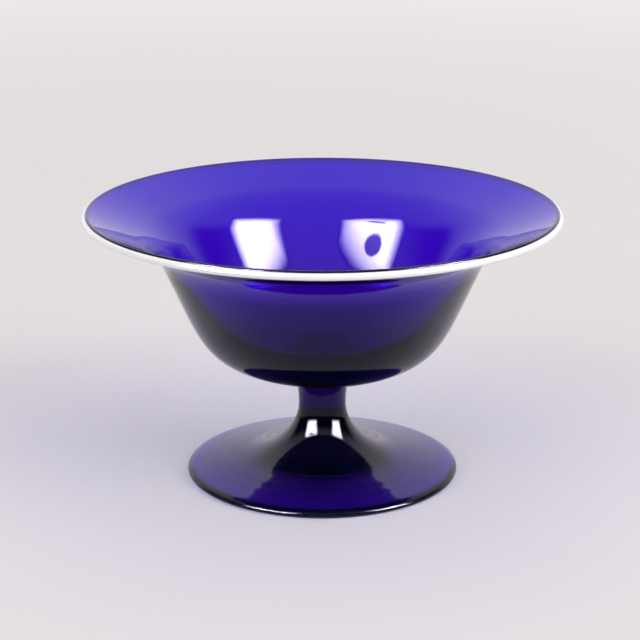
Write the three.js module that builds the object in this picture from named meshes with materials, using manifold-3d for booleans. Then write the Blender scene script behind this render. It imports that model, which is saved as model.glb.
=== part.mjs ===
// A footed glass bowl: a wide bowl with an everted lip, an opaque white thread trailed round
// the lip, a short waisted stem and a shallow conical foot. Each is a gather of its own.
// Millimetres, +Z up. The origin is on the standing plane, on the axis of the glass.

import * as THREE from 'three';
import { mergeVertices } from 'three/addons/utils/BufferGeometryUtils.js';
import Module from 'manifold-3d';

// Foot: a cone with a fire-polished edge, solid at its root
const FOOT_RADIUS = 65.2;
const FOOT_HEIGHT = 20;
const FOOT_SLOPE = 10; // degrees from the standing plane
const FOOT_EDGE_THICKNESS = 3.5;
const FOOT_EDGE_WIDTH = 4.7; // over which the top rounds down to the edge
const FOOT_CONE_RADIUS = 40; // inside it the top flares up to the stem
const STANDING_RING_WIDTH = 2; // worn flat under the edge
const UNDERSIDE_SLOPE = 6; // degrees
const ROOT_RADIUS = 25; // inside it the underside levels out
const PONTIL_RADIUS = 10; // ground flat where the iron was broken away

// Stem: solid, seated on the foot
const STEM_HEIGHT = 27.5;
const STEM_BASE_RADIUS = 16.7;
const STEM_WAIST_RADIUS = 11.35;
const STEM_TOP_RADIUS = 13.6;
const STEM_WAIST_HEIGHT = 14; // above the foot
const STEM_FLARE_HEIGHT = 6.5; // above the foot, where the flare's tangent meets the waist
const STEM_NECK_DROP = 5; // below the bowl, where the neck's tangent meets the waist

// Bowl: seated on the stem, its underside drawn from the stem outwards to the lip
const BELLY_ANGLE = 12.25; // degrees, at the stem
const BELLY_FULLNESS = 0.9; // from 0, a straight cone, to 1, a sharp corner
const KNEE_RADIUS = 65.8; // where the belly runs into the straight wall
const KNEE_HEIGHT = 35.6; // above the stem
const WALL_ANGLE = 65.9; // degrees
const WALL_LENGTH = 22.8;
const BEND_RADIUS = 28;
const LIP_ANGLE = 26; // degrees
const LIP_LENGTH = 24.1;
const FLOOR_THICKNESS = 16.5; // beside the stem
const LEAST_THICKNESS = 1.25; // that the wall would thin to if it rose for ever
const THINNING_HEIGHT = 25; // over which all but 37% of the surplus thickness goes

// Thread: a round trail pressed against the underside of the lip's rounded edge
const THREAD_DIAMETER = 3.2;
const THREAD_BITE = 0.75; // how far it wraps into the lip's edge
const THREAD_ANGLE = -59; // degrees, from the middle of the lip's edge to the thread's middle
const THREAD_CLEARANCE = 0.3;

// Facets
const TURN_STEPS = 48;
const BELLY_STEPS = 10;
const WALL_STEPS = 4;
const LIP_STEPS = 2;
const BEND_STEPS = 5;
const ROUND_STEPS = 6;
const EDGE_STEPS = 3;
const FLARE_STEPS = 6;
const FLOOR_STEPS = 3;
const THREAD_STEPS = 14;

// Outlines are drawn in the half plane (radius, height), anticlockwise round the glass.
const at = (radius, height) => new THREE.Vector2(radius, height);
const turn = THREE.MathUtils.degToRad;
const heading = (degrees) => at(Math.cos(turn(degrees)), Math.sin(turn(degrees)));
const ahead = (from, degrees, distance) => from.clone().addScaledVector(heading(degrees), distance);

// The arc of a circle between two directions, given in degrees
function arc(centre, radius, start, end) {
  return new THREE.EllipseCurve(
    centre.x, centre.y, radius, radius, turn(start), turn(end), end < start,
  );
}

// Where a line from one point meets a line from another
function crossing(first, firstWay, second, secondWay) {
  const between = second.clone().sub(first);
  const distance = between.cross(secondWay) / firstWay.cross(secondWay);
  return first.clone().addScaledVector(firstWay, distance);
}

// A closed body turned round the Z axis from a closed outline
function turned(outline) {
  const geometry = new THREE.LatheGeometry(outline, TURN_STEPS);
  geometry.rotateX(Math.PI / 2);
  return geometry;
}

const stemTop = FOOT_HEIGHT + STEM_HEIGHT;

// Stem outline, from its base up through the waist to the bowl
function stemOutline() {
  const base = at(STEM_BASE_RADIUS, FOOT_HEIGHT);
  const waist = at(STEM_WAIST_RADIUS, FOOT_HEIGHT + STEM_WAIST_HEIGHT);
  const top = at(STEM_TOP_RADIUS, stemTop);
  const flareCorner = at(STEM_WAIST_RADIUS, FOOT_HEIGHT + STEM_FLARE_HEIGHT);
  const neckCorner = at(STEM_WAIST_RADIUS, stemTop - STEM_NECK_DROP);
  const flare = new THREE.QuadraticBezierCurve(base, flareCorner, waist);
  const neck = new THREE.QuadraticBezierCurve(waist, neckCorner, top);
  return [
    at(0, FOOT_HEIGHT),
    ...flare.getPoints(FLARE_STEPS),
    ...neck.getPoints(FLARE_STEPS).slice(1),
    at(0, stemTop),
  ];
}

// Foot outline, from the pontil out under the cone, round the edge and up the flare to the stem
function footOutline() {
  const edgeRadius = FOOT_EDGE_THICKNESS / 2;
  const edgeCentre = at(FOOT_RADIUS - edgeRadius, edgeRadius);
  const ringInside = at(edgeCentre.x - STANDING_RING_WIDTH, 0);
  const hollow = Math.tan(turn(UNDERSIDE_SLOPE));
  const root = at(ROOT_RADIUS, (ringInside.x - ROOT_RADIUS) * hollow);
  const domeCorner = at((ROOT_RADIUS + PONTIL_RADIUS) / 2, 0);
  domeCorner.y = root.y + (root.x - domeCorner.x) * hollow;
  const pontil = at(PONTIL_RADIUS, domeCorner.y);
  const dome = new THREE.QuadraticBezierCurve(pontil, domeCorner, root);

  const underEdge = arc(edgeCentre, edgeRadius, -90, 0);
  const uphill = 180 - FOOT_SLOPE;
  const edgeCorner = at(FOOT_RADIUS, FOOT_EDGE_THICKNESS);
  const coneFoot = ahead(edgeCorner, uphill, FOOT_EDGE_WIDTH);
  const overEdge = new THREE.QuadraticBezierCurve(underEdge.getPoint(1), edgeCorner, coneFoot);
  const coneLength = (FOOT_RADIUS - FOOT_CONE_RADIUS) / Math.cos(turn(FOOT_SLOPE));
  const coneTop = ahead(edgeCorner, uphill, coneLength);
  const seat = at(STEM_BASE_RADIUS, FOOT_HEIGHT);
  const flareWay = at(STEM_WAIST_RADIUS - STEM_BASE_RADIUS, STEM_FLARE_HEIGHT);
  const flareCorner = crossing(coneTop, heading(uphill), seat, flareWay);
  const flare = new THREE.QuadraticBezierCurve(coneTop, flareCorner, seat);
  return [
    at(0, pontil.y),
    ...dome.getPoints(FLOOR_STEPS),
    ringInside,
    ...underEdge.getPoints(EDGE_STEPS),
    ...overEdge.getPoints(EDGE_STEPS).slice(1),
    ...flare.getPoints(FLARE_STEPS),
    at(0, FOOT_HEIGHT),
  ];
}

// The stretches of the bowl's underside, from the stem to the end of the lip
function bowlUnderside() {
  const seat = at(STEM_TOP_RADIUS, stemTop);
  const knee = at(KNEE_RADIUS, stemTop + KNEE_HEIGHT);
  const corner = crossing(seat, heading(BELLY_ANGLE), knee, heading(WALL_ANGLE));
  const belly = new THREE.CubicBezierCurve(
    seat,
    seat.clone().lerp(corner, BELLY_FULLNESS),
    knee.clone().lerp(corner, BELLY_FULLNESS),
    knee,
  );
  const wallTop = ahead(knee, WALL_ANGLE, WALL_LENGTH);
  const wall = new THREE.LineCurve(knee, wallTop);
  const bendCentre = ahead(wallTop, WALL_ANGLE - 90, BEND_RADIUS);
  const bend = arc(bendCentre, BEND_RADIUS, WALL_ANGLE + 90, LIP_ANGLE + 90);
  const lipStart = bend.getPoint(1);
  const lip = new THREE.LineCurve(lipStart, ahead(lipStart, LIP_ANGLE, LIP_LENGTH));
  return { belly, wall, bend, lip };
}

// Thickness of the bowl's wall over a point of its underside: the wall thins upwards
function thickness(point) {
  const surplus = FLOOR_THICKNESS - LEAST_THICKNESS;
  return LEAST_THICKNESS + surplus * Math.exp((stemTop - point.y) / THINNING_HEIGHT);
}

// The middle and the radius of the lip's rounded edge
function lipEdge() {
  const end = bowlUnderside().lip.v2;
  const radius = thickness(end) / 2;
  return { centre: ahead(end, LIP_ANGLE + 90, radius), radius };
}

// Points of the inner face over one stretch of the underside, from the lip's end to the stem's
function innerFace(stretch, steps) {
  const points = [];
  for (let step = steps; step >= 0; step -= 1) {
    const under = stretch.getPoint(step / steps);
    const way = stretch.getTangent(step / steps);
    points.push(under.clone().addScaledVector(at(-way.y, way.x), thickness(under)));
  }
  return points;
}

// Bowl outline, out along the underside, round the lip and back down the inside
function bowlOutline() {
  const { belly, wall, bend, lip } = bowlUnderside();
  const { centre, radius } = lipEdge();
  const edge = arc(centre, radius, LIP_ANGLE - 90, LIP_ANGLE + 90);
  const bellyInside = innerFace(belly, BELLY_STEPS);
  const floorEdge = bellyInside.at(-1);
  const floorSlope = bellyInside.at(-2).clone().sub(floorEdge).angle();
  const floorCorner = at(floorEdge.x / 2, 0);
  floorCorner.y = floorEdge.y - floorCorner.x * Math.tan(floorSlope);
  const floorMiddle = at(0, floorCorner.y);
  const floor = new THREE.QuadraticBezierCurve(floorEdge, floorCorner, floorMiddle);
  return [
    at(0, stemTop),
    ...belly.getPoints(BELLY_STEPS),
    ...bend.getPoints(BEND_STEPS),
    ...edge.getPoints(ROUND_STEPS),
    ...innerFace(lip, LIP_STEPS).slice(1),
    ...innerFace(bend, BEND_STEPS).slice(1),
    ...innerFace(wall, WALL_STEPS).slice(1),
    ...bellyInside.slice(1),
    ...floor.getPoints(FLOOR_STEPS).slice(1),
  ];
}

// Outline of the lip's last stretch, grown by the clearance that the thread keeps to it
function lipSeatOutline() {
  const { centre, radius } = lipEdge();
  const grown = radius + THREAD_CLEARANCE;
  const edge = arc(centre, grown, LIP_ANGLE - 90, LIP_ANGLE + 90).getPoints(ROUND_STEPS);
  const inside = ahead(centre, LIP_ANGLE, -LIP_LENGTH);
  const start = ahead(inside, LIP_ANGLE - 90, grown);
  const end = ahead(inside, LIP_ANGLE + 90, grown);
  return [start, ...edge, end, start.clone()];
}

// Outline of the round trail before it is pressed against the lip
function trailOutline() {
  const lip = lipEdge();
  const radius = THREAD_DIAMETER / 2;
  const centre = ahead(lip.centre, THREAD_ANGLE, lip.radius + radius - THREAD_BITE);
  const points = arc(centre, radius, 0, 360).getPoints(THREAD_STEPS);
  points[THREAD_STEPS].copy(points[0]);
  return points;
}

const wasm = await Module();
wasm.setup();

// A closed mesh as a solid that can be cut
function solid(geometry) {
  const bare = geometry.clone();
  bare.deleteAttribute('normal');
  bare.deleteAttribute('uv');
  const merged = mergeVertices(bare);
  const vertProperties = new Float32Array(merged.attributes.position.array);
  const triVerts = new Uint32Array(merged.index.array);
  return new wasm.Manifold(new wasm.Mesh({ numProp: 3, vertProperties, triVerts }));
}

// The trail with the lip's seat cut out of it
function threadGeometry() {
  const trail = solid(turned(trailOutline()));
  const cut = trail.subtract(solid(turned(lipSeatOutline()))).getMesh();
  const geometry = new THREE.BufferGeometry();
  geometry.setAttribute('position', new THREE.BufferAttribute(cut.vertProperties, 3));
  geometry.setIndex(new THREE.BufferAttribute(cut.triVerts, 1));
  geometry.computeVertexNormals();
  return geometry;
}

const cobaltGlass = new THREE.MeshStandardMaterial({ color: 0x231a86, roughness: 0.05, metalness: 0 });
const whiteGlass = new THREE.MeshStandardMaterial({ color: 0xece6f0, roughness: 0.15, metalness: 0 });

function piece(name, geometry, material) {
  const mesh = new THREE.Mesh(geometry, material);
  mesh.name = name;
  return mesh;
}

const compote = new THREE.Group();
compote.add(
  piece('foot', turned(footOutline()), cobaltGlass),
  piece('stem', turned(stemOutline()), cobaltGlass),
  piece('bowl', turned(bowlOutline()), cobaltGlass),
  piece('lip_thread', threadGeometry(), whiteGlass),
);

export default compote;
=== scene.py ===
import cmath
import math

import bpy
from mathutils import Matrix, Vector


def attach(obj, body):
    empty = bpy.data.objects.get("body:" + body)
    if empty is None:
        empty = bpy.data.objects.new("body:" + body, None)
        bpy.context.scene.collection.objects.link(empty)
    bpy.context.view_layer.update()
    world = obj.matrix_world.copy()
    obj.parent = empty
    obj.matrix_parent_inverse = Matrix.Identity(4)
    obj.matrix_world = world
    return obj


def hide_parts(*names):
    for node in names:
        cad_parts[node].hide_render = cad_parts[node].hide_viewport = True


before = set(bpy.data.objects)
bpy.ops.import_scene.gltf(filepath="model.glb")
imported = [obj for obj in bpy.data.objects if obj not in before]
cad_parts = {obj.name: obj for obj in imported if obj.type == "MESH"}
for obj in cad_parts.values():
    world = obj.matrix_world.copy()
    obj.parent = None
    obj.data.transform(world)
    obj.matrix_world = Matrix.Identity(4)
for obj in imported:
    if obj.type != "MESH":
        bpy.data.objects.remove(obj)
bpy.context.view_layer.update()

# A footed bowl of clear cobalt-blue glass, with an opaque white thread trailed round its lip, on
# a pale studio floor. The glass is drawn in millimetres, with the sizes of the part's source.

MILLIMETRE = 0.001

# Foot
FOOT_RADIUS = 65.2
FOOT_HEIGHT = 20
FOOT_SLOPE = 10  # degrees from the standing plane
FOOT_EDGE_THICKNESS = 3.5
FOOT_EDGE_WIDTH = 4.7  # over which the top rounds down to the edge
FOOT_CONE_RADIUS = 40  # inside it the top flares up to the stem
STANDING_RING_WIDTH = 2
UNDERSIDE_SLOPE = 6  # degrees
ROOT_RADIUS = 25  # inside it the underside levels out
PONTIL_RADIUS = 10
RIPPLE_DEPTH = 0.018
RIPPLE_PITCH = 7

# Stem
STEM_HEIGHT = 27.5
STEM_BASE_RADIUS = 16.7
STEM_WAIST_RADIUS = 11.35
STEM_TOP_RADIUS = 13.6
STEM_WAIST_HEIGHT = 14  # above the foot
STEM_FLARE_HEIGHT = 6.5  # above the foot, where the flare's tangent meets the waist
STEM_NECK_DROP = 5  # below the bowl, where the neck's tangent meets the waist
SEAM = 0.01  # left between glass and glass, so that no two faces lie in one plane

# Bowl
BELLY_ANGLE = 12.25  # degrees, at the stem
BELLY_FULLNESS = 0.9  # from 0, a straight cone, to 1, a sharp corner
KNEE_RADIUS = 65.8
KNEE_HEIGHT = 35.6  # above the stem
WALL_ANGLE = 65.9  # degrees
WALL_LENGTH = 22.8
BEND_RADIUS = 28
LIP_ANGLE = 26  # degrees
LIP_LENGTH = 24.1
FLOOR_THICKNESS = 16.5  # beside the stem
LEAST_THICKNESS = 1.25  # that the wall would thin to if it rose for ever
THINNING_HEIGHT = 25  # over which all but 37% of the surplus thickness goes

# Thread
THREAD_DIAMETER = 3.2
THREAD_BITE = 0.75  # how far it wraps into the lip's edge
THREAD_ANGLE = -59  # degrees, from the middle of the lip's edge to the thread's middle
THREAD_SINK = 0.06  # how far its seat lies in the lip's glass, so that the two are one

# Facets
TURN_STEPS = 192
LINE_STEPS = 8
CURVE_STEPS = 40
ROUND_STEPS = 18
TINY = 1e-4  # share of a curve over which its direction is taken
SAME_PLACE = 5  # decimals of a millimetre to which two points are one

# Camera, as fitted to the rim and the foot of the photograph
CAMERA_PLACE = (-1.11, -876.7, 344.7)  # millimetres
CAMERA_TILT = 72.9  # degrees up from straight down
CAMERA_LENS = 108.33
CAMERA_SENSOR = 36

WHITE = (1, 1, 1, 1)
BLACK = (0, 0, 0, 1)

# Blue glass
GLASS_IOR = 1.5
FUSED_IOR = 1  # light isn't bent between glass and glass
CLEARNESS = 0.996  # the rest is a faint haze
GLOSS = (0.42, 0.375, 0.49, 1)  # share of a plain glass's reflection, seen head-on
DEPTH_COLOUR = (0.961, 0.05, 0.942, 1)
DEPTH_DENSITY = 2100  # per metre
BLUE_WAVES = 40  # per metre
BLUE_WAVE_HEIGHT = 0.00006  # metres
WAVE_DETAIL = 1

# Cobalt glass lets a little deep red through at any depth, and takes the rest of the red at once. So
# light loses that rest on its way through the first wall, and none of it in the next ones.
FIRST_WALL = (0.06, 0.45, 1, 1)
WALL_FACES = 2  # that light passes, and each takes the root of the colour above

# White glass
THREAD_SHADE = (0.96, 0.955, 0.96, 1)  # of its faint streaks
THREAD_SEAT_SHADE = (0.7, 0.52, 0.42, 1)  # painted shade, darker and warmer than the thread, of the face against the lip, which shows through the lip
THREAD_ROUGHNESS = 0.12
THREAD_STREAKS = 300  # per metre
STREAK_DETAIL = 2
THREAD_WAVES = 150  # per metre
THREAD_WAVE_HEIGHT = 0.0001  # metres

# Floor, in metres. It has a glow of its own, which makes up for the lamps far from the glass.
FLOOR_REACH = 8
FLOOR_DROP = 0.0001  # under the standing ring
PAPER = (0.65, 0.637, 0.624, 1)
BACKDROP = (0.78, 0.75, 0.75, 1)
GLOW_GROWS = (0.3, 4.5)  # distances from the axis between which it grows
LEAST_GLOW = 0.17
GLOW_COVERED = (0.055, 0.065)  # distances between which it ends, under the foot

# Lamps
LAMP_DISTANCE = 4  # metres
LAMP_TARGET = Vector((0, 0, 0.08))
LAMP_FADE = 0.26  # share of its width or height
HALF_FACE = 0.5  # past which the way to a border shortens again
HEAD_PLACE = (0.45, 0.79, 0)  # of the dark flash head, by shares of the lamp's face
HEAD_SIZE = (0.155, 0.047, 1000)  # the last is so large that depth doesn't count
HEAD_TURN = 13  # degrees
HEAD_CORE = 0.7  # share of its size that is quite dark
HEAD_SHINE = 0.05  # share of the lamp's brightness that is left there
SECOND_REFLECTION = 2

# Room: a pale wall behind the glass, a pale ceiling, and dark on the camera's side
ROOM_DARK = (0.03, 0.03, 0.035, 1)
ROOM_WALL = (1, 0.95, 0.98, 1)
WALL_BEGINS = (0.3, 0.6)  # parts of a direction away from the camera between which it fades in
CEILING = (0.76, 0.73, 0.76, 1)
CEILING_MIRRORED = (1.1, 1.12, 1.15, 1)  # as reflections show it
CEILING_BEGINS = (0.42, 0.7)  # parts of a direction upwards between which it fades in

# Outlines are complex numbers, the radius real and the height imaginary. They run anticlockwise
# round the glass, so the glass lies on their left. A curve is a function of its share, 0 to 1.


def heading(degrees):
    return cmath.rect(1, math.radians(degrees))


def cross(first, second):
    return (first.conjugate() * second).imag


def crossing(first, first_way, second, second_way):
    """Where a line from one point meets a line from another."""
    distance = cross(second - first, second_way) / cross(first_way, second_way)
    return first + first_way * distance


def between(start, end, share):
    return start + (end - start) * share


def bezier(*poles):
    """A straight line through two poles, or a smooth curve drawn by more."""

    def curve(share):
        points = list(poles)
        while len(points) > 1:
            points = [between(a, b, share) for a, b in zip(points, points[1:])]
        return points[0]

    return curve


def arc(centre, radius, begin, end):
    """Part of a circle, between two directions in degrees."""
    return lambda share: centre + radius * heading(between(begin, end, share))


def direction(curve, share):
    step = curve(share + TINY) - curve(share - TINY)
    return step / abs(step)


def thickness(point):
    """Of the bowl's wall over a point of its underside: the wall thins upwards."""
    surplus = (FLOOR_THICKNESS - LEAST_THICKNESS) * math.exp((stem_top - point.imag) / THINNING_HEIGHT)
    return LEAST_THICKNESS + surplus


def inner_face(curve):
    """The bowl's inner face over one stretch of its underside, run back from its end."""

    def inner(share):
        under = curve(1 - share)
        return under + 1j * direction(curve, 1 - share) * thickness(under)

    return inner


def rippled(start, end):
    """A straight line with the faint rings that the tool left on the turning glass."""
    length = abs(end - start)
    outwards = -1j * (end - start) / length
    rings = round(length / RIPPLE_PITCH)

    def curve(share):
        swell = RIPPLE_DEPTH * math.sin(math.pi * share) * math.sin(2 * math.pi * rings * share)
        return between(start, end, share) + outwards * swell

    return curve


def turned(name, outline, material):
    """A closed body turned round the Z axis. The outline lists (curve, steps, fused)."""
    places = []
    rings = {}
    faces = []
    normals = []
    fused_faces = []

    def spoke(step):
        return heading(360 * step / TURN_STEPS)

    def ring(point):
        key = (round(point.real, SAME_PLACE), round(point.imag, SAME_PLACE))
        if key not in rings:
            count = TURN_STEPS if key[0] > 0 else 1
            rings[key] = (len(places), count)
            for step in range(count):
                around = spoke(step) * point.real
                places.append(Vector((around.real, around.imag, point.imag)) * MILLIMETRE)
        return rings[key]

    def corner(point, normal, step):
        first, count = ring(point)
        around = spoke(step) * normal.real
        return first + step % count, Vector((around.real, around.imag, normal.imag))

    for curve, steps, fused in outline:
        ends = [(curve(step / steps), -1j * direction(curve, step / steps)) for step in range(steps + 1)]
        for start, end in zip(ends, ends[1:]):
            for step in range(TURN_STEPS):
                corners = [
                    corner(*start, step),
                    corner(*start, step + 1),
                    corner(*end, step + 1),
                    corner(*end, step),
                ]
                if ring(start[0])[1] == 1:
                    corners.pop(1)
                elif ring(end[0])[1] == 1:
                    corners.pop(2)
                faces.append([index for index, _ in corners])
                normals.extend(normal for _, normal in corners)
                fused_faces.append(fused)

    mesh = bpy.data.meshes.new(name)
    mesh.from_pydata(places, [], faces)
    mesh.shade_smooth()
    mesh.normals_split_custom_set(normals)
    mesh.attributes.new("fused", "FLOAT", "FACE").data.foreach_set("value", fused_faces)
    mesh.materials.append(material)
    piece = bpy.data.objects.new(name, mesh)
    bpy.context.scene.collection.objects.link(piece)
    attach(piece, "root")
    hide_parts(name.removesuffix("_glass"))


SKIN = 0  # faces of glass against air
FUSED = 1  # faces of glass against glass

stem_top = FOOT_HEIGHT + STEM_HEIGHT


def stem_outline():
    base = complex(STEM_BASE_RADIUS, FOOT_HEIGHT + SEAM)
    waist = complex(STEM_WAIST_RADIUS, FOOT_HEIGHT + STEM_WAIST_HEIGHT)
    top = complex(STEM_TOP_RADIUS, stem_top - SEAM)
    flare_corner = complex(STEM_WAIST_RADIUS, FOOT_HEIGHT + STEM_FLARE_HEIGHT)
    neck_corner = complex(STEM_WAIST_RADIUS, stem_top - STEM_NECK_DROP)
    return [
        (bezier(complex(0, base.imag), base), LINE_STEPS, FUSED),
        (bezier(base, flare_corner, waist), CURVE_STEPS, SKIN),
        (bezier(waist, neck_corner, top), CURVE_STEPS, SKIN),
        (bezier(top, complex(0, top.imag)), LINE_STEPS, FUSED),
    ]


def foot_outline():
    edge_radius = FOOT_EDGE_THICKNESS / 2
    edge_centre = complex(FOOT_RADIUS - edge_radius, edge_radius)
    ring_inside = complex(edge_centre.real - STANDING_RING_WIDTH, 0)
    hollow = math.tan(math.radians(UNDERSIDE_SLOPE))
    root = complex(ROOT_RADIUS, (ring_inside.real - ROOT_RADIUS) * hollow)
    dome_radius = (ROOT_RADIUS + PONTIL_RADIUS) / 2
    dome_corner = complex(dome_radius, root.imag + (root.real - dome_radius) * hollow)
    pontil = complex(PONTIL_RADIUS, dome_corner.imag)

    uphill = heading(180 - FOOT_SLOPE)
    edge_corner = complex(FOOT_RADIUS, FOOT_EDGE_THICKNESS)
    cone_foot = edge_corner + uphill * FOOT_EDGE_WIDTH
    cone_top = edge_corner + uphill * (FOOT_RADIUS - FOOT_CONE_RADIUS) / -uphill.real
    seat = complex(STEM_BASE_RADIUS, FOOT_HEIGHT)
    flare_way = complex(STEM_WAIST_RADIUS - STEM_BASE_RADIUS, STEM_FLARE_HEIGHT)
    flare_corner = crossing(cone_top, uphill, seat, flare_way)
    return [
        (bezier(complex(0, pontil.imag), pontil), LINE_STEPS, SKIN),
        (bezier(pontil, dome_corner, root), ROUND_STEPS, SKIN),
        (bezier(root, ring_inside), LINE_STEPS, SKIN),
        (bezier(ring_inside, complex(edge_centre.real, 0)), 1, SKIN),
        (arc(edge_centre, edge_radius, -90, 0), ROUND_STEPS, SKIN),
        (bezier(edge_centre + edge_radius, edge_corner, cone_foot), ROUND_STEPS, SKIN),
        (rippled(cone_foot, cone_top), CURVE_STEPS, SKIN),
        (bezier(cone_top, flare_corner, seat), CURVE_STEPS, SKIN),
        (bezier(seat, complex(0, FOOT_HEIGHT)), LINE_STEPS, FUSED),
    ]


def bowl_underside():
    """The stretches of the bowl's underside, from the stem to the end of the lip."""
    seat = complex(STEM_TOP_RADIUS, stem_top)
    knee = complex(KNEE_RADIUS, stem_top + KNEE_HEIGHT)
    corner = crossing(seat, heading(BELLY_ANGLE), knee, heading(WALL_ANGLE))
    belly = bezier(
        seat,
        between(seat, corner, BELLY_FULLNESS),
        between(knee, corner, BELLY_FULLNESS),
        knee,
    )
    wall_top = knee + heading(WALL_ANGLE) * WALL_LENGTH
    wall = bezier(knee, wall_top)
    bend_centre = wall_top + heading(WALL_ANGLE - 90) * BEND_RADIUS
    bend = arc(bend_centre, BEND_RADIUS, WALL_ANGLE + 90, LIP_ANGLE + 90)
    lip = bezier(bend(1), bend(1) + heading(LIP_ANGLE) * LIP_LENGTH)
    return belly, wall, bend, lip


def lip_edge():
    """The middle and the radius of the lip's rounded edge."""
    end = bowl_underside()[-1](1)
    radius = thickness(end) / 2
    return end + heading(LIP_ANGLE + 90) * radius, radius


def bowl_outline():
    belly, wall, bend, lip = bowl_underside()
    edge = arc(*lip_edge(), LIP_ANGLE - 90, LIP_ANGLE + 90)
    belly_inside = inner_face(belly)
    floor_edge = belly_inside(1)
    floor_way = direction(belly_inside, 1)
    floor_corner = floor_edge + floor_way * floor_edge.real / 2 / -floor_way.real
    floor_middle = complex(0, floor_corner.imag)
    return [
        (bezier(complex(0, stem_top), belly(0)), LINE_STEPS, FUSED),
        (belly, CURVE_STEPS, SKIN),
        (wall, LINE_STEPS, SKIN),
        (bend, ROUND_STEPS, SKIN),
        (lip, LINE_STEPS, SKIN),
        (edge, ROUND_STEPS, SKIN),
        (inner_face(lip), CURVE_STEPS, SKIN),
        (inner_face(bend), ROUND_STEPS, SKIN),
        (inner_face(wall), CURVE_STEPS, SKIN),
        (belly_inside, CURVE_STEPS, SKIN),
        (bezier(floor_edge, floor_corner, floor_middle), ROUND_STEPS, SKIN),
    ]


def thread_outline():
    """A round trail pressed against the underside and the rounded edge of the lip."""
    lip_centre, lip_radius = lip_edge()
    seat_radius = lip_radius - THREAD_SINK
    radius = THREAD_DIAMETER / 2
    reach = lip_radius + radius - THREAD_BITE
    centre = lip_centre + heading(THREAD_ANGLE) * reach

    wrap = math.acos((reach**2 + seat_radius**2 - radius**2) / (2 * reach * seat_radius))
    wrap_end = THREAD_ANGLE + math.degrees(wrap)
    outer_end = lip_centre + heading(wrap_end) * seat_radius
    underside = LIP_ANGLE - 90
    seat_corner = lip_centre + heading(underside) * seat_radius
    from_corner = (centre - seat_corner) / heading(LIP_ANGLE)
    half_chord = math.sqrt(radius**2 - from_corner.imag**2)
    inner_end = seat_corner + heading(LIP_ANGLE) * (from_corner.real - half_chord)

    end = math.degrees(cmath.phase(outer_end - centre))
    sweep = math.degrees(cmath.phase((outer_end - centre) / (inner_end - centre))) % 360
    return [
        (arc(centre, radius, end - sweep, end), CURVE_STEPS, SKIN),
        (arc(lip_centre, seat_radius, wrap_end, underside), ROUND_STEPS, FUSED),
        (bezier(seat_corner, inner_end), 1, FUSED),
    ]


def feed(tree, node, inputs):
    """Links a node's inputs to other nodes' outputs, or sets them to plain values."""
    for name, value in inputs.items():
        if isinstance(value, bpy.types.NodeSocket):
            tree.links.new(value, node.inputs[name])
        else:
            node.inputs[name].default_value = value


def add_node(tree, kind, output, inputs, **settings):
    """A new node's output."""
    node = tree.nodes.new(kind)
    for key, value in settings.items():
        setattr(node, key, value)
    feed(tree, node, inputs)
    return node.outputs[output]


def place(tree, kind):
    return add_node(tree, "ShaderNodeTexCoord", kind, {})


def part(tree, vector, axis):
    return add_node(tree, "ShaderNodeSeparateXYZ", axis, {0: vector})


def vector_length(tree, vector):
    return add_node(tree, "ShaderNodeVectorMath", "Value", {0: vector}, operation="LENGTH")


def light_path(tree, fact):
    return add_node(tree, "ShaderNodeLightPath", fact, {})


def fused_share(tree):
    return add_node(tree, "ShaderNodeAttribute", "Fac", {}, attribute_name="fused")


def calculate(tree, operation, first, second):
    return add_node(tree, "ShaderNodeMath", 0, {0: first, 1: second}, operation=operation)


def ramp(tree, value, begin, end, low=0, high=1):
    """Goes smoothly from low to high as a value goes from begin to end."""
    inputs = {"Value": value, "From Min": begin, "From Max": end, "To Min": low, "To Max": high}
    return add_node(tree, "ShaderNodeMapRange", "Result", inputs, interpolation_type="SMOOTHSTEP")


def mix(tree, share, base, over):
    """One colour over another, by a share from zero to one."""
    inputs = {"Factor": share, "A": base, "B": over}
    return add_node(tree, "ShaderNodeMix", "Result", inputs, data_type="RGBA")


def noise(tree, scale, detail):
    inputs = {"Vector": place(tree, "Object"), "Scale": scale, "Detail": detail}
    return add_node(tree, "ShaderNodeTexNoise", "Fac", inputs)


def waviness(tree, scale, height):
    """The soft unevenness of glass that was shaped by hand, as a fine bump."""
    inputs = {"Height": noise(tree, scale, WAVE_DETAIL), "Strength": 1, "Distance": height}
    return add_node(tree, "ShaderNodeBump", "Normal", inputs)


def new_material(name):
    """A material with its node tree, which holds a Principled shader and the output, and that shader."""
    material = bpy.data.materials.new(name)
    material.use_nodes = True
    return material, material.node_tree, material.node_tree.nodes["Principled BSDF"]


def cobalt_glass():
    """Clear glass that takes its blue from its own depth."""
    material, tree, shader = new_material("cobalt_glass")
    first_wall = calculate(tree, "LESS_THAN", light_path(tree, "Transmission Depth"), WALL_FACES)
    surface = {
        "Base Color": mix(tree, first_wall, WHITE, FIRST_WALL),
        "Roughness": 0,
        "Transmission Weight": CLEARNESS,
        "Specular Tint": GLOSS,
        "IOR": ramp(tree, fused_share(tree), SKIN, FUSED, GLASS_IOR, FUSED_IOR),
        "Normal": waviness(tree, BLUE_WAVES, BLUE_WAVE_HEIGHT),
    }
    feed(tree, shader, surface)
    depth = {"Color": DEPTH_COLOUR, "Density": DEPTH_DENSITY}
    volume = add_node(tree, "ShaderNodeVolumeAbsorption", "Volume", depth)
    feed(tree, tree.nodes["Material Output"], {"Volume": volume})
    return material


def white_glass():
    """Opaque white glass with faint streaks, and painted shade on its face against the lip."""
    material, tree, shader = new_material("white_glass")
    streaks = mix(tree, noise(tree, THREAD_STREAKS, STREAK_DETAIL), THREAD_SHADE, WHITE)
    surface = {
        # the face against the lip, where the fused share is one, takes the painted shade
        "Base Color": mix(tree, fused_share(tree), streaks, THREAD_SEAT_SHADE),
        "Roughness": THREAD_ROUGHNESS,
        "IOR": GLASS_IOR,
        "Normal": waviness(tree, THREAD_WAVES, THREAD_WAVE_HEIGHT),
    }
    feed(tree, shader, surface)
    return material


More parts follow.
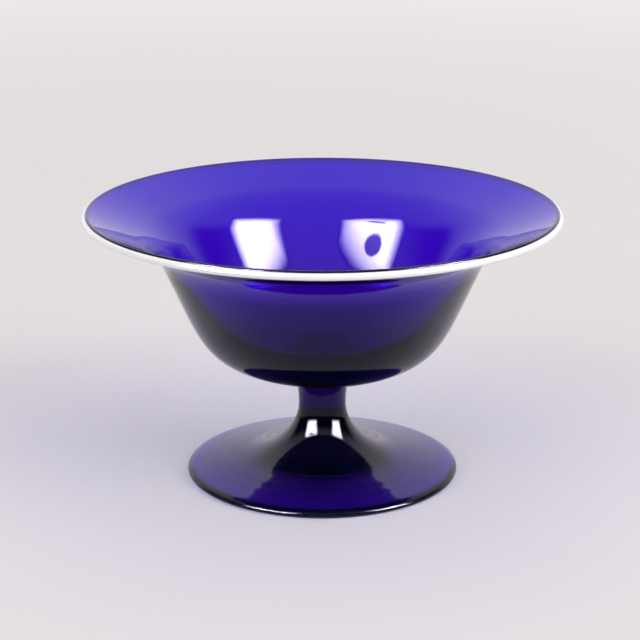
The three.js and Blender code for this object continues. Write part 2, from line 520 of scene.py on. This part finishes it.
cobalt = cobalt_glass()
white = white_glass()
turned("foot_glass", foot_outline(), cobalt)
turned("stem_glass", stem_outline(), cobalt)
turned("bowl_glass", bowl_outline(), cobalt)
turned("lip_thread_glass", thread_outline(), white)


def sheet(name, width, height, material):
    """A flat rectangle round its own middle."""
    corners = [(-width, -height), (width, -height), (width, height), (-width, height)]
    mesh = bpy.data.meshes.new(name)
    mesh.from_pydata([(x / 2, y / 2, 0) for x, y in corners], [], [[0, 1, 2, 3]])
    mesh.materials.append(material)
    rectangle = bpy.data.objects.new(name, mesh)
    bpy.context.scene.collection.objects.link(rectangle)
    return rectangle


def seen_directly(tree):
    """One for rays from the camera, mirrored or through the glass, else zero."""
    mirrored = light_path(tree, "Is Glossy Ray")
    through = light_path(tree, "Is Transmission Ray")
    by_glass = calculate(tree, "MAXIMUM", mirrored, through)
    return calculate(tree, "MAXIMUM", light_path(tree, "Is Camera Ray"), by_glass)


def paper():
    material, tree, shader = new_material("paper")
    away = vector_length(tree, place(tree, "Object"))
    glow = ramp(tree, away, *GLOW_GROWS, LEAST_GLOW)
    uncovered = ramp(tree, away, *GLOW_COVERED)
    shown = calculate(tree, "MULTIPLY", uncovered, seen_directly(tree))
    surface = {
        "Base Color": PAPER,
        "Roughness": 1,
        "Specular IOR Level": 0,
        "Emission Color": BACKDROP,
        "Emission Strength": calculate(tree, "MULTIPLY", glow, shown),
    }
    feed(tree, shader, surface)
    return material


floor = sheet("floor", 2 * FLOOR_REACH, 2 * FLOOR_REACH, paper())
floor.location.z = -FLOOR_DROP


def flash_head(tree, face, strength):
    """A lamp's brightness, less where the dark head of the flash stands before its face."""
    inputs = {
        "Vector": face,
        "Location": HEAD_PLACE,
        "Rotation": (0, 0, math.radians(HEAD_TURN)),
        "Scale": HEAD_SIZE,
    }
    head = add_node(tree, "ShaderNodeMapping", "Vector", inputs, vector_type="TEXTURE")
    clear = ramp(tree, vector_length(tree, head), HEAD_CORE, 1, HEAD_SHINE)
    return calculate(tree, "MULTIPLY", clear, strength)


def lamp_face(shine, headed):
    """A lamp's own face, which fades towards its border. Only first reflections in the glass show it."""
    material, tree, shader = new_material("lamp_face")
    face = place(tree, "Generated")
    borders = [calculate(tree, "PINGPONG", part(tree, face, axis), HALF_FACE) for axis in "XY"]
    strength = ramp(tree, calculate(tree, "MINIMUM", *borders), 0, LAMP_FADE, 0, shine)
    if headed:
        strength = flash_head(tree, face, strength)
    first = calculate(tree, "LESS_THAN", light_path(tree, "Glossy Depth"), SECOND_REFLECTION)
    surface = {
        "Base Color": BLACK,
        "Emission Color": WHITE,
        "Emission Strength": calculate(tree, "MULTIPLY", first, strength),
    }
    feed(tree, shader, surface)
    return material


def softbox(name, azimuth, elevation, width, height, radiance, shine, headed):
    """A lamp round from the camera and above the floor, by degrees, and its face."""
    across = math.radians(azimuth)
    up = math.radians(elevation)
    way = Vector((math.sin(across) * math.cos(up), -math.cos(across) * math.cos(up), math.sin(up)))
    light = bpy.data.lights.new(name, "AREA")
    light.shape = "RECTANGLE"
    light.size = width
    light.size_y = height
    light.energy = radiance * math.pi * width * height
    lamp = bpy.data.objects.new(name, light)
    lamp.visible_glossy = False
    bpy.context.scene.collection.objects.link(lamp)

    face = sheet(name + "_face", width, height, lamp_face(shine, headed))
    face.visible_diffuse = False
    face.visible_transmission = False
    face.visible_shadow = False

    for placed in (lamp, face):
        placed.location = LAMP_TARGET + way * LAMP_DISTANCE
        placed.rotation_euler = way.to_track_quat("Z", "Y").to_euler()
        placed.visible_camera = False


softbox(
    "lamp_right",
    azimuth=61,
    elevation=27.5,
    width=2.8,
    height=3.1,
    radiance=3.6,
    shine=68,
    headed=False,
)
softbox(
    "lamp_left",
    azimuth=-46,
    elevation=27.5,
    width=3.5,
    height=3.1,
    radiance=1.85,
    shine=72,
    headed=True,
)

world = bpy.data.worlds.new("studio")
bpy.context.scene.world = world
world.use_nodes = True
sky = world.node_tree
way_out = place(sky, "Generated")
behind = ramp(sky, part(sky, way_out, "Y"), *WALL_BEGINS)
overhead = ramp(sky, part(sky, way_out, "Z"), *CEILING_BEGINS)
through = light_path(sky, "Is Transmission Ray")
seen = calculate(sky, "MAXIMUM", light_path(sky, "Is Camera Ray"), through)
mirrored = calculate(sky, "MULTIPLY", overhead, light_path(sky, "Is Glossy Ray"))
room = mix(sky, calculate(sky, "MAXIMUM", seen, behind), ROOM_DARK, ROOM_WALL)
room = mix(sky, overhead, room, CEILING)
room = mix(sky, mirrored, room, CEILING_MIRRORED)
feed(sky, sky.nodes["Background"], {"Color": room})

camera_data = bpy.data.cameras.new("camera")
camera_data.lens = CAMERA_LENS
camera_data.sensor_width = CAMERA_SENSOR
camera_data.sensor_fit = "HORIZONTAL"
camera = bpy.data.objects.new("camera", camera_data)
camera.location = Vector(CAMERA_PLACE) * MILLIMETRE
camera.rotation_euler = (math.radians(CAMERA_TILT), 0, 0)
bpy.context.scene.collection.objects.link(camera)
bpy.context.scene.camera = camera
bpy.context.scene.view_settings.view_transform = "Standard"
